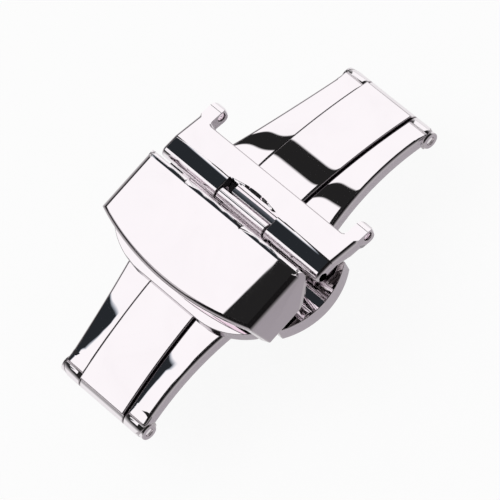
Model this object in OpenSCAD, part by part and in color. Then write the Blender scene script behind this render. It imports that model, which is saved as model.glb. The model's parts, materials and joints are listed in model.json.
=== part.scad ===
// Push button butterfly clasp for a watch strap, folded shut.
// The length runs along X, the width along Y. The strap lug is on the +X side
// and the hinged cover on the -X side. Z = 0 is the table under the hinge ends.

/* [Base and arms] */
// Radius of the polished top of the base along the wrist
arc_r = 50.6; // [44:0.1:60]
// Distance from the middle of the clasp to the end of a hinge knuckle
end_x = 19.5; // [18.5:0.1:24]
// Width of the base strip between the rails
strip_w = 5.9; // [5.2:0.1:6.4]
// Thickness of the base strip under its raised top
strip_t = 1.2; // [0.9:0.05:1.4]
// Height of the raised polished top above the rails
pad_h = 0.3; // [0.15:0.05:0.5]
// Step from the end of the knuckle to the end of the raised top
pad_inset = 0.45; // [0.3:0.05:1]
// Gap between the strip and each rail
rail_gap = 0.1; // [0.06:0.01:0.2]
// Thickness of the rails
rail_t = 1.3; // [1:0.05:1.4]
// Width over both rails at the hinge ends
waist_w = 10.8; // [10:0.1:12]
// Radius of the flare in the outer edge of the rails
flare_r = 54; // [46:1:80]
// Distance from the middle of the clasp to the inner ends of the rails
rail_start_x = 0.6; // [0.4:0.1:0.9]

/* [End hinges] */
// Radius of the rolled knuckle at each end
end_knuckle_r = 0.95; // [0.8:0.05:1.1]
// Radius of the end hinge pins
end_pin_r = 0.4; // [0.3:0.05:0.5]
// How far the hinge bosses stand out of the rails
boss_out = 0.25; // [0.1:0.05:0.5]
// How deep the pin ends lie in their holes
pin_recess = 0.15; // [0.05:0.05:0.3]
// Radial clearance of every pin in its holes
pin_clear = 0.03; // [0.02:0.01:0.06]
// Side gap between two knuckles on one pin
side_gap = 0.1; // [0.05:0.05:0.2]

/* [Strap lug] */
// Strap width that fits between the two ears
strap_fit_w = 18; // [16:1:20]
// Space between the strap and each ear
strap_clear = 0.15; // [0.1:0.05:0.2]
// Thickness of each ear
ear_t = 1.45; // [1.2:0.05:1.8]
// Radius of the spring bar hole
bar_hole_r = 0.45; // [0.4:0.05:0.6]
// Distance of the spring bar hole from the middle of the clasp
bar_x = 7.2; // [7.1:0.05:8]
// Height of the spring bar hole over the top of the base
bar_z = 0; // [-0.02:0.01:0.2]
// Radius of the rounded ear tip
ear_tip_r = 0.85; // [0.7:0.05:0.85]
// Distance of the far edge of the lug from the middle of the clasp
lug_edge_x = 5.8; // [5.6:0.1:6]
// Distance of the lug hinge from the middle of the clasp
lug_pin_x = 1.6; // [1.5:0.05:1.8]
// Radius of the lug barrel and of its knuckle on the arm
lug_barrel_r = 0.72; // [0.65:0.05:0.8]
// Radius of the lug hinge pin
lug_pin_r = 0.35; // [0.25:0.05:0.4]
// Width of the knuckle on the right arm
knuckle_w = 6.3; // [6:0.1:6.6]
// Distance of the back of the notch from the middle of the clasp
notch_x = 3.2; // [3:0.1:3.6]
// Width of the scooped rim behind the notch, at its middle
scoop_w = 0.5; // [0.3:0.05:0.6]

/* [Saddles] */
// Gap between the base and what passes over it
over_gap = 0.08; // [0.05:0.01:0.12]
// Thickness of the saddle that joins the two rails
saddle_t = 0.45; // [0.4:0.02:0.56]
// Length of a saddle from its hinge pin
saddle_l = 2.6; // [2.2:0.1:2.8]

/* [Strap plate] */
// Distance of the strap plate hinge from the middle of the clasp
plate_pin_x = 1.25; // [1.2:0.05:1.4]
// Radius of the strap plate barrels
plate_barrel_r = 0.62; // [0.55:0.01:0.64]
// Radius of the strap plate hinge pin
plate_pin_r = 0.3; // [0.2:0.05:0.35]
// Height of the underside of the strap plate over the base
plate_lift = 0.7; // [0.66:0.02:0.9]
// Thickness of the strap plate
plate_t = 0.58; // [0.45:0.01:0.7]
// Half of the width of the strap plate
plate_half_w = 9.6; // [9.2:0.1:9.8]
// How far the front lip of the strap plate stands out of the cover
plate_out = 0.3; // [0.3:0.05:0.8]
// Thickness of the front lip of the strap plate
lip_t = 0.8; // [0.6:0.05:1.2]

/* [Cover] */
// Height of the rear top edge of the cover over the base
cover_h = 3.45; // [3.4:0.05:3.8]
// Fall of the cover towards its front, in degrees
cover_tilt = 4.5; // [3.5:0.1:5.5]
// Half of the width of the cover's top face
cover_half_w = 9.95; // [9.9:0.05:10.4]
// Length of the cover along its middle
cover_l = 8.3; // [8:0.05:9]
// Radius of the curved front edge of the cover
front_r = 31.1; // [28:0.1:40]
// Thickness of the top of the cover
cover_t = 0.7; // [0.55:0.05:0.75]
// Thickness of the flanks of the cover, measured across the width
flank_t = 0.9; // [0.7:0.05:1]
// How far the flanks reach down
flank_h = 2.4; // [2:0.05:2.5]
// How far the flanks spread outwards over their height
flank_out = 1.3; // [1.1:0.05:1.5]
// Rise of the crowned top from its sides to its middle
crown_h = 0.3; // [0.1:0.05:0.4]
// How far the rear edge of the cover bows inwards in its middle
rear_bow = 0.1; // [0.1:0.05:0.3]
// How far the rear edge of the top stands out behind the flanks
brow = 0.35; // [0.2:0.05:0.4]
// Distance of the cover hinge from the middle of the clasp
cover_pin_x = 1.1; // [1.05:0.05:1.2]
// Height of the cover hinge over the base
cover_pin_z = 2.35; // [2.3:0.05:2.4]
// Radius of the cover hinge knuckles
cover_knuckle_r = 0.42; // [0.38:0.01:0.45]
// Radius of the cover hinge pin
cover_pin_r = 0.22; // [0.18:0.01:0.25]

/* [Strap stud] */
// Distance of the strap stud from the middle of the clasp
stud_x = 5.4; // [5.2:0.1:5.6]
// Radius of the strap stud
stud_r = 0.75; // [0.6:0.05:0.9]
// Height of the strap stud over the strap plate
stud_h = 1.1; // [0.9:0.05:1.15]
// Radius of the riveted shank of the stud
stud_shank_r = 0.4; // [0.3:0.05:0.5]

/* [Catch] */
// Half of the length of the catch housing
housing_half_l = 4.4; // [4.2:0.1:4.6]
// Half of the width of the catch housing
housing_half_w = 7.2; // [7.1:0.05:7.4]
// Thickness of the roof of the housing
housing_roof_t = 0.45; // [0.4:0.05:0.5]
// Thickness of the side walls of the housing
housing_wall_t = 1.2; // [1:0.05:1.3]
// Thickness of the end walls that the latch plates pass through
housing_end_t = 0.6; // [0.5:0.05:0.7]
// Thickness of the floor of the housing
floor_t = 0.45; // [0.4:0.05:0.6]
// Thickness of the latch plates
latch_t = 0.75; // [0.6:0.05:0.8]
// Running gap around the latch plates
latch_gap = 0.06; // [0.04:0.01:0.1]
// Travel of each push button
press = 0.7; // [0.6:0.05:0.7]
// Distance of the hooks from the middle of the clasp along the strip
hook_x = 1.7; // [1.6:0.05:1.8]
// Width of each hook along the strip
hook_w = 1; // [0.8:0.05:1]
// Distance of the inner face of the hook legs from the middle
hook_y = 4.3; // [4.2:0.05:4.4]
// Thickness of each hook leg
hook_t = 0.8; // [0.7:0.05:0.85]
// How far the barb of a hook reaches under its latch plate
barb = 0.6; // [0.5:0.05:0.6]

/* [Push buttons] */
// Distance of the middle of the button's edge from the middle of the clasp
button_reach = 11; // [10.6:0.1:11.4]
// Radius of the button's curved edge
button_r = 7.6; // [7:0.1:9]
// Half of the length of a button
button_half_l = 4.4; // [4:0.1:4.8]
// Height of a button
button_h = 1.6; // [1.3:0.05:1.6]

/* [Springs and rivets] */
// Radius of the coils of the button springs
spring_r = 0.3; // [0.26:0.01:0.3]
// Radius of the spring wire
wire_r = 0.08; // [0.06:0.01:0.1]
// Turns of each button spring
spring_turns = 4; // [3:1:5]
// Half of the width of the post between the two springs
post_half_w = 0.35; // [0.3:0.05:0.4]
// Radius of the housing rivets
rivet_r = 0.3; // [0.25:0.05:0.35]

/* [Hidden] */

// Faces of the large arcs, of bores and pins, and of small rounds
arc_fn = 720;
pin_fn = 72;
round_fn = 48;
// Reach of a cut past the piece that it cuts
past = 1;

// Radii of the layers of the wrist arc, from the rails up to the strap plate
rail_top_r = arc_r - pad_h;
rail_low_r = rail_top_r - rail_t;
strip_low_r = rail_top_r - strip_t;
over_r = arc_r + over_gap;
saddle_top_r = over_r + saddle_t;
lip_low_r = arc_r + 1.5 * over_gap;
plate_low_r = arc_r + plate_lift;
plate_top_r = plate_low_r + plate_t;

// End hinges
end_pin_x = end_x - end_knuckle_r;
end_pin_z = sqrt(pow(rail_top_r - end_knuckle_r, 2) - pow(end_pin_x, 2)) - arc_r;
rail_in_y = strip_w / 2 + rail_gap;
rail_max_y = 7.4;
rail_corner_r = 0.8;
boss_y = waist_w / 2 + boss_out;
boss_r = end_knuckle_r - 0.1;
// Height of the base's top over the table
lift = end_knuckle_r - end_pin_z;

// Saddles and the knuckle in the middle of each
saddle_half_w = rail_in_y + 0.7;
knuckle_half_w = knuckle_w / 2;
barrel_in_y = knuckle_half_w + 1.5 * side_gap;

// Strap lug
lug_pin_z = over_gap + lug_barrel_r;
lug_top_z = lug_pin_z + lug_barrel_r;
ear_in_y = strap_fit_w / 2 + strap_clear;
lug_half_w = ear_in_y + ear_t;
lug_near_x = lug_pin_x - lug_barrel_r;
lug_flat_x = 2.9;
lug_flank_z = 0.3;
lug_flank_x = 3.2;
lug_belly_x = 4.8;
lug_belly_z = -0.4;
lug_round_r = 1.5;
// The sloping plate of the lug ends level with the top of the ears
ear_top_z = bar_z + ear_tip_r;
lug_slope_x = bar_x - 1.3;
lug_fall = (lug_top_z - ear_top_z) / (lug_slope_x - lug_flat_x);
ear_root_r = 0.45;
ear_corner_r = 0.5;
notch_corner_r = 0.4;
// The underside of the lug is hollow over the arm out to this half width
lug_hollow_half_w = rail_max_y + 0.3;
lug_roof_x = lug_pin_x + saddle_l + 0.1;
lug_roof_z = saddle_top_r - arc_r + over_gap;
lug_foot_z = sqrt(arc_r * arc_r - lug_belly_x * lug_belly_x) - arc_r + over_gap;

// Strap plate and cover
plate_pin_z = over_gap + plate_barrel_r;
plate_front_x = -cover_l - plate_out;
plate_corner_r = 8;
plate_straight_half = 4;
plate_barrel_out_y = 9.4;
front_centre_x = front_r - cover_l;
upright_half_w = 5.8;
upright_low_z = plate_pin_z + plate_barrel_r + side_gap;
cover_knuckle_in_y = upright_half_w + 2 * side_gap;
cover_knuckle_out_y = 8.4;
nub_r = 0.28;
nub_x = 5.5;
nub_gap = 0.09;
rear_round_r = 0.45;
crown_turn = 9;
rear_wall_drop = 1.5;
rear_chamfer_x = 1.4;
crown_r = (pow(cover_half_w, 2) + pow(crown_h, 2)) / (2 * crown_h);
rear_r = pow(cover_half_w, 2) / (2 * rear_bow);

// Catch, from the roof of the housing down to its floor
housing_gap = 0.15;
hook_gap = 0.1;
hook_foot_t = 0.45;
housing_top_z = sqrt(pow(rail_low_r, 2) - pow(housing_half_l, 2)) - arc_r - housing_gap;
roof_low_z = housing_top_z - housing_roof_t;
latch_top_z = roof_low_z - latch_gap;
latch_low_z = latch_top_z - latch_t;
latch_mid_z = latch_top_z - latch_t / 2;
hook_low_z = latch_low_z - hook_gap - hook_foot_t;
floor_top_z = hook_low_z - hook_gap;
floor_low_z = floor_top_z - floor_t;
housing_corner_r = 1.2;
cavity_half_l = housing_half_l - housing_wall_t;
cavity_half_w = housing_half_w - housing_end_t;
ledge_w = 0.3;
shoulder_y = cavity_half_w - hook_gap;
latch_half_l = cavity_half_l - latch_gap;
stem_half_l = 2.6;
window_in_y = hook_y - hook_gap;
window_out_y = hook_y + hook_t + press + hook_gap;
window_in_x = hook_x - hook_w / 2 - 2 * hook_gap;
window_out_x = hook_x + hook_w / 2 + 5 * hook_gap;
post_half_l = 0.9;
spring_l = 1.55;
spring_end_gap = 0.01;
spigot_l = 0.5;
latch_in_y = post_half_w + spring_l;
button_in_y = cavity_half_w + housing_end_t + press + 0.08;
button_top_z = housing_top_z + 0.05;
button_corner_r = 0.35;
tenon_l = 1.1;
tenon_gap = 0.02;
rivet_x = housing_half_l - housing_wall_t / 2;
rivet_y = 6;
rivet_gap = 0.02;
rivet_head_r = 0.5;
rivet_head_h = 0.2;

// Height of the point of an arc of radius r at x, over the top of the base
function arc_z(r, x) = sqrt(r * r - x * x) - arc_r;

// Stands a piece on the table
module place() {
    translate([0, 0, lift]) children();
}

// Turns a side view, drawn as X and Z, into a solid from y0 to y1
module across(y0, y1) {
    translate([0, y1, 0]) rotate([90, 0, 0]) linear_extrude(y1 - y0) children();
}

// The same on both sides of the middle
module both_sides(y0, y1) {
    across(y0, y1) children();
    across(-y1, -y0) children();
}

// A round bar along Y, from y0 to y1
module bar(r, y0, y1) {
    translate([0, y1, 0]) rotate([90, 0, 0]) cylinder(r = r, h = y1 - y0, $fn = pin_fn);
}

// Side view of a band that follows the wrist arc, from x0 to x1
module arc_band(r_low, r_high, x0, x1) {
    intersection() {
        translate([0, -arc_r]) difference() {
            circle(r = r_high, $fn = arc_fn);
            circle(r = r_low, $fn = arc_fn);
        }
        translate([x0, -arc_r / 2]) square([x1 - x0, arc_r]);
    }
}

// A rectangle from corner to corner with round corners
module round_rect(x0, y0, x1, y1, r) {
    translate([x0 + r, y0]) square([x1 - x0 - 2 * r, y1 - y0]);
    translate([x0, y0 + r]) square([x1 - x0, y1 - y0 - 2 * r]);
    for (x = [x0 + r, x1 - r], y = [y0 + r, y1 - r])
        translate([x, y]) circle(r = r, $fn = round_fn);
}

// What a round of radius r takes off the corner b between the edges ba and bc
module corner_waste(a, b, c, r) {
    u = (a - b) / norm(a - b);
    v = (c - b) / norm(c - b);
    half = acos(u * v) / 2;
    reach = r / tan(half);
    centre = b + (u + v) / norm(u + v) * r / sin(half);
    difference() {
        polygon([b + u * reach, b - 0.1 * (u + v), b + v * reach]);
        translate(centre) circle(r = r, $fn = arc_fn / 4);
    }
}

// A piece of the right half, or of the back half, on the side that is named
module on_x(side) {
    mirror([side < 0 ? 1 : 0, 0, 0]) children();
}
module on_y(side) {
    mirror([0, side < 0 ? 1 : 0, 0]) children();
}

// Arched base: a strip with a rolled knuckle at each end, a raised polished
// top, and a foot under its middle that carries the catch housing
module base_plate() {
    pad_end_x = end_x - pad_inset;
    pad_corner_r = 0.15;
    color("gainsboro") place() difference() {
        union() {
            across(-strip_w / 2, strip_w / 2) {
                arc_band(strip_low_r, rail_top_r, -end_pin_x, end_pin_x);
                translate([-cavity_half_l, housing_top_z])
                    square([2 * cavity_half_l, -housing_top_z - pad_h - strip_t / 2]);
            }
            for (side = [-1, 1])
                translate([side * end_pin_x, 0, end_pin_z])
                    bar(end_knuckle_r, -strip_w / 2, strip_w / 2);
            intersection() {
                across(-strip_w, strip_w)
                    arc_band(rail_top_r - pad_h, arc_r, -end_x, end_x);
                translate([0, 0, -arc_r / 2]) linear_extrude(arc_r)
                    round_rect(-pad_end_x, -strip_w / 2, pad_end_x, strip_w / 2, pad_corner_r);
            }
        }
        for (side = [-1, 1])
            translate([side * end_pin_x, 0, end_pin_z])
                bar(end_pin_r + pin_clear, -strip_w, strip_w);
    }
}

// Plan of the catch housing
module housing_plan() {
    round_rect(-housing_half_l, -housing_half_w, housing_half_l, housing_half_w, housing_corner_r);
}

// Catch housing: a box open below, with slots in its roof for the hooks, a
// window in each end wall for the latch plates, ledges that carry the plates,
// and a post between the springs
module catch_housing() {
    slot_x0 = hook_x - hook_w / 2 - 1.5 * hook_gap;
    slot_x1 = hook_x + hook_w / 2 + 4 * hook_gap;
    slot_y0 = hook_y - barb - 1.5 * hook_gap;
    slot_y1 = hook_y + hook_t + 1.5 * hook_gap;
    ledge_z = latch_low_z - latch_gap;
    cavity_low_half_l = cavity_half_l - ledge_w;
    color("silver") place() difference() {
        translate([0, 0, floor_top_z]) linear_extrude(housing_top_z - floor_top_z) housing_plan();
        difference() {
            union() {
                translate([-cavity_half_l, -cavity_half_w, ledge_z])
                    cube([2 * cavity_half_l, 2 * cavity_half_w, roof_low_z - ledge_z]);
                translate([-cavity_low_half_l, -cavity_half_w, floor_top_z - past])
                    cube([2 * cavity_low_half_l, 2 * cavity_half_w, ledge_z - floor_top_z + 1.1 * past]);
            }
            translate([-post_half_l, -post_half_w, floor_top_z - 2 * past])
                cube([2 * post_half_l, 2 * post_half_w, 6 * past]);
        }
        for (sy = [-1, 1]) on_y(sy)
            translate([-stem_half_l - latch_gap, cavity_half_w - past, ledge_z])
                cube([2 * (stem_half_l + latch_gap), housing_end_t + 2 * past,
                      latch_t + 2 * latch_gap]);
        for (sx = [-1, 1], sy = [-1, 1]) on_x(sx) on_y(sy) {
            translate([slot_x0, slot_y0, roof_low_z - past / 4])
                cube([slot_x1 - slot_x0, slot_y1 - slot_y0, housing_roof_t + past]);
            translate([rivet_x, rivet_y, floor_top_z - past])
                cylinder(r = rivet_r + rivet_gap, h = latch_top_z - floor_top_z + past, $fn = pin_fn);
        }
    }
}

// Plate that closes the catch housing below
module housing_floor() {
    color("silver") place() difference() {
        translate([0, 0, floor_low_z]) linear_extrude(floor_t) housing_plan();
        for (x = [-rivet_x, rivet_x], y = [-rivet_y, rivet_y])
            translate([x, y, floor_low_z - past])
                cylinder(r = rivet_r + rivet_gap, h = floor_t + 2 * past, $fn = pin_fn);
    }
}

// Four domed rivets that hold the floor on the housing
module housing_rivets() {
    dome_r = (pow(rivet_head_r, 2) + pow(rivet_head_h, 2)) / (2 * rivet_head_h);
    color("silver") place()
        for (x = [-rivet_x, rivet_x], y = [-rivet_y, rivet_y])
            translate([x, y, floor_low_z]) {
                cylinder(r = rivet_r, h = latch_top_z - floor_low_z - rivet_gap, $fn = pin_fn);
                rotate([180, 0, 0]) rotate_extrude($fn = pin_fn) intersection() {
                    translate([0, rivet_head_h - dome_r]) circle(r = dome_r, $fn = pin_fn);
                    square([rivet_head_r, rivet_head_h]);
                }
            }
}

// Plan of the back rail of the right arm: it flares towards the middle
module rail_plan() {
    waist_y = waist_w / 2;
    difference() {
        translate([rail_start_x, rail_in_y]) square([end_x - rail_start_x, rail_max_y - rail_in_y]);
        translate([end_pin_x, waist_y + flare_r]) circle(r = flare_r, $fn = arc_fn);
        corner_waste([end_x, 0], [end_x, waist_y], [0, waist_y], rail_corner_r);
    }
}

// Hook under a rail, drawn as Y and Z: a leg with a barb towards the middle
module hook_profile() {
    lead = 0.3;
    barb_y = hook_y - barb;
    foot_top_z = hook_low_z + hook_foot_t;
    polygon([[hook_y, -pad_h - rail_t / 2], [hook_y, foot_top_z], [barb_y, foot_top_z],
             [barb_y, hook_low_z + lead], [hook_y - lead, hook_low_z],
             [hook_y + hook_t - lead, hook_low_z], [hook_y + hook_t, hook_low_z + lead],
             [hook_y + hook_t, -pad_h - rail_t / 2]]);
}

// Arm of the right side: two rails beside the base, with knuckle and bosses at
// the end hinge, a hook under each rail, and a saddle over the base that ends
// in the middle knuckle for a hinge at x, z with the radius r and a pin of pin_r
module arm(x, z, r, pin_r) {
    saddle_x = x + r + side_gap;
    saddle_end_x = x + saddle_l;
    difference() {
        union() {
            intersection() {
                union() {
                    both_sides(rail_in_y, rail_max_y)
                        arc_band(rail_low_r, rail_top_r, rail_start_x, end_pin_x);
                    translate([end_pin_x, 0, end_pin_z])
                        for (sy = [-1, 1]) on_y(sy) bar(end_knuckle_r, rail_in_y, rail_max_y);
                }
                translate([0, 0, -arc_r / 2]) linear_extrude(arc_r)
                    for (sy = [-1, 1]) on_y(sy) rail_plan();
            }
            translate([end_pin_x, 0, end_pin_z])
                for (sy = [-1, 1]) on_y(sy) bar(boss_r, rail_in_y, boss_y);
            for (sy = [-1, 1]) on_y(sy)
                translate([hook_x - hook_w / 2, 0, 0]) rotate([90, 0, 90])
                    linear_extrude(hook_w) hook_profile();
            both_sides(rail_in_y, saddle_half_w)
                arc_band(rail_top_r - rail_t / 2, saddle_top_r, saddle_x, saddle_end_x);
            across(-saddle_half_w, saddle_half_w)
                arc_band(over_r, saddle_top_r, saddle_x, saddle_end_x);
            across(-knuckle_half_w, knuckle_half_w)
                arc_band(over_r, saddle_top_r, x, saddle_x + saddle_t);
            translate([x, 0, z]) bar(r, -knuckle_half_w, knuckle_half_w);
        }
        translate([end_pin_x, 0, end_pin_z])
            bar(end_pin_r + pin_clear, -2 * boss_y, 2 * boss_y);
        translate([x, 0, z]) bar(pin_r + pin_clear, -strip_w, strip_w);
    }
}

module arm_left() {
    color("gainsboro") place() on_x(-1)
        arm(plate_pin_x, plate_pin_z, plate_barrel_r, plate_pin_r);
}

module arm_right() {
    color("gainsboro") place() arm(lug_pin_x, lug_pin_z, lug_barrel_r, lug_pin_r);
}

// Pin of an end hinge
module end_pin(side) {
    half_l = boss_y - pin_recess;
    color("silver") place()
        translate([side * end_pin_x, 0, end_pin_z]) bar(end_pin_r, -half_l, half_l);
}

module end_pin_left() {
    end_pin(-1);
}

module end_pin_right() {
    end_pin(1);
}

// Side view of the strap lug: barrel and sloping plate over the points of an
// underside, which run from the end of the ear back to the barrel
module lug_profile(underside) {
    top_a = [lug_pin_x, lug_top_z];
    top_b = [lug_flat_x, lug_top_z];
    top_c = [lug_slope_x, ear_top_z];
    translate([lug_pin_x, lug_pin_z]) circle(r = lug_barrel_r, $fn = pin_fn);
    difference() {
        polygon(concat([top_a, top_b, top_c, [bar_x, ear_top_z]], underside));
        corner_waste(top_a, top_b, top_c, lug_round_r);
    }
}

// Plan of the strap lug: a plate as wide as the strap, an ear at each end and
// a notch for the knuckle of the arm
module lug_plan() {
    ear_out_x = bar_x + ear_tip_r + past;
    tip_x = bar_x + ear_tip_r;
    difference() {
        translate([lug_near_x - past, -lug_half_w]) square([ear_out_x - lug_near_x + past, 2 * lug_half_w]);
        difference() {
            translate([lug_edge_x, -ear_in_y]) square([2 * ear_out_x, 2 * ear_in_y]);
            for (sy = [-1, 1]) on_y(sy)
                corner_waste([2 * ear_out_x, ear_in_y], [lug_edge_x, ear_in_y], [lug_edge_x, 0],
                             ear_root_r);
        }
        for (sy = [-1, 1]) on_y(sy) {
            corner_waste([0, lug_half_w], [tip_x, lug_half_w], [tip_x, 0], ear_corner_r);
            corner_waste([0, ear_in_y], [tip_x, ear_in_y], [tip_x, 2 * ear_in_y], ear_corner_r);
        }
        round_rect(-notch_x, -barrel_in_y, notch_x, barrel_in_y, notch_corner_r);
    }
}

// Cone that scoops the rim behind the notch: it runs out at both ends of the notch
module notch_scoop() {
    reach = scoop_w * (1 + lug_fall);
    centre_x = notch_x + reach / 2 - barrel_in_y * barrel_in_y / (2 * reach);
    rim_z = lug_top_z - lug_fall * (notch_x + scoop_w - lug_flat_x);
    rim_r = notch_x + scoop_w - centre_x;
    intersection() {
        translate([centre_x, 0, rim_z - scoop_w])
            cylinder(r1 = rim_r - scoop_w, r2 = rim_r + scoop_w, h = 2 * scoop_w, $fn = arc_fn);
        across(-barrel_in_y, barrel_in_y)
            translate([notch_x - scoop_w, rim_z - 2 * scoop_w]) square([4 * scoop_w, 4 * scoop_w]);
    }
}

module strap_lug() {
    color("gainsboro") place() difference() {
        intersection() {
            union() {
                both_sides(lug_hollow_half_w, lug_half_w) {
                    lug_profile([[bar_x, bar_z - ear_tip_r], [lug_belly_x, lug_belly_z],
                                 [lug_flank_x, lug_flank_z], [lug_pin_x, lug_flank_z]]);
                    translate([bar_x, bar_z]) circle(r = ear_tip_r, $fn = pin_fn);
                }
                across(-lug_hollow_half_w, lug_hollow_half_w)
                    lug_profile([[bar_x, lug_foot_z], [lug_belly_x, lug_foot_z],
                                 [lug_roof_x, lug_roof_z], [lug_pin_x, lug_roof_z]]);
            }
            translate([0, 0, -arc_r / 2]) linear_extrude(arc_r) lug_plan();
        }
        translate([lug_pin_x, 0, lug_pin_z])
            bar(lug_pin_r + pin_clear, -lug_half_w - past, lug_half_w + past);
        translate([bar_x, 0, bar_z]) bar(bar_hole_r, -lug_half_w - past, lug_half_w + past);
        notch_scoop();
    }
}

module lug_pin() {
    half_l = lug_half_w - pin_recess;
    color("silver") place() translate([lug_pin_x, 0, lug_pin_z]) bar(lug_pin_r, -half_l, half_l);
}

// Plan of the front part of the strap plate, moved back by step
module plate_plan(step) {
    reach = plate_straight_half + plate_corner_r;
    intersection() {
        round_rect(plate_front_x + step, -reach, plate_corner_r * 2, reach, plate_corner_r);
        translate([-2 * cover_l, -plate_half_w]) square([2 * cover_l, 2 * plate_half_w]);
    }
}

// Strap plate: a curved plate under the strap with a thick front lip, barrels
// at its hinge, an upright for the cover hinge and a detent nub on each side
module strap_plate() {
    upright_x = -cover_pin_x - cover_knuckle_r;
    flank_slope = flank_out / flank_h;
    nub_z = arc_z(plate_low_r + plate_t / 2, nub_x);
    nub_drop = cover_h - nub_x * sin(cover_tilt) - nub_z - nub_r;
    nub_out_y = cover_half_w + flank_slope * nub_drop - flank_t - nub_gap;
    color("silver") place() difference() {
        union() {
            intersection() {
                across(-plate_half_w, plate_half_w)
                    arc_band(plate_low_r, plate_top_r, plate_front_x, -plate_pin_x);
                translate([0, 0, -arc_r / 2]) linear_extrude(arc_r) plate_plan(0);
            }
            intersection() {
                across(-plate_half_w, plate_half_w)
                    arc_band(lip_low_r, plate_top_r, plate_front_x, -plate_pin_x);
                translate([0, 0, -arc_r / 2]) linear_extrude(arc_r) difference() {
                    plate_plan(0);
                    plate_plan(lip_t);
                }
            }
            translate([-plate_pin_x, 0, plate_pin_z])
                for (sy = [-1, 1]) on_y(sy) bar(plate_barrel_r, barrel_in_y, plate_barrel_out_y);
            across(-upright_half_w, upright_half_w)
                translate([upright_x, upright_low_z])
                    square([cover_knuckle_r, cover_pin_z - upright_low_z]);
            both_sides(barrel_in_y, upright_half_w)
                translate([upright_x, plate_pin_z])
                    square([cover_knuckle_r, cover_pin_z - plate_pin_z]);
            translate([-cover_pin_x, 0, cover_pin_z])
                bar(cover_knuckle_r, -upright_half_w, upright_half_w);
            for (sy = [-1, 1]) on_y(sy)
                translate([-nub_x, plate_half_w - past, nub_z]) rotate([-90, 0, 0])
                    cylinder(r = nub_r, h = nub_out_y - plate_half_w + past, $fn = pin_fn);
        }
        translate([0, 0, plate_pin_z - 2 * plate_barrel_r])
            linear_extrude(upright_low_z - plate_pin_z + 2 * plate_barrel_r)
                translate([-plate_pin_x - plate_barrel_r - side_gap, -barrel_in_y])
                    square([2 * plate_barrel_r, 2 * barrel_in_y]);
        translate([-plate_pin_x, 0, plate_pin_z])
            bar(plate_pin_r + pin_clear, -plate_half_w - past, plate_half_w + past);
        translate([-cover_pin_x, 0, cover_pin_z])
            bar(cover_pin_r + pin_clear, -plate_half_w, plate_half_w);
        translate([-stud_x, 0, 0])
            cylinder(r = stud_shank_r + rivet_gap, h = 2 * past + plate_t, $fn = pin_fn);
    }
}

module plate_pin() {
    half_l = plate_barrel_out_y - pin_recess;
    color("silver") place()
        translate([-plate_pin_x, 0, plate_pin_z]) bar(plate_pin_r, -half_l, half_l);
}

// Domed stud for a hole of the strap, with a shank riveted in the strap plate
module strap_stud() {
    seat_z = arc_z(plate_top_r, stud_x - stud_r) + rivet_gap;
    low_z = arc_z(plate_low_r, stud_x);
    dome_h = 0.3;
    dome_r = (pow(stud_r, 2) + pow(dome_h, 2)) / (2 * dome_h);
    color("silver") place() translate([-stud_x, 0, 0]) rotate_extrude($fn = pin_fn) {
        translate([0, low_z]) square([stud_shank_r, seat_z - low_z + stud_h / 2]);
        translate([0, seat_z]) square([stud_r, stud_h - dome_h]);
        intersection() {
            translate([0, seat_z + stud_h - dome_r]) circle(r = dome_r, $fn = pin_fn);
            translate([0, seat_z]) square([stud_r, stud_h]);
        }
    }
}

// Outline of the cover across its width, as Y and Z under its own top edge
module cover_section() {
    slope = flank_out / flank_h;
    intersection() {
        polygon([[-cover_half_w - flank_out, -flank_h], [cover_half_w + flank_out, -flank_h],
                 [cover_half_w - slope, past], [-cover_half_w + slope, past]]);
        translate([0, crown_h - crown_r]) circle(r = crown_r, $fn = arc_fn * 2);
    }
}

// What the round of the rear edge takes off the crowned top: the waste of a
// corner, turned about the axis of the crown
module rear_waste() {
    translate([brow, 0, crown_h - crown_r]) rotate([0, 90, 0]) rotate([0, 0, 180 - crown_turn / 2])
        rotate_extrude(angle = crown_turn, $fn = arc_fn * 2)
            corner_waste([0, 0], [crown_r, 0], [crown_r, -crown_r], rear_round_r);
}

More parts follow.
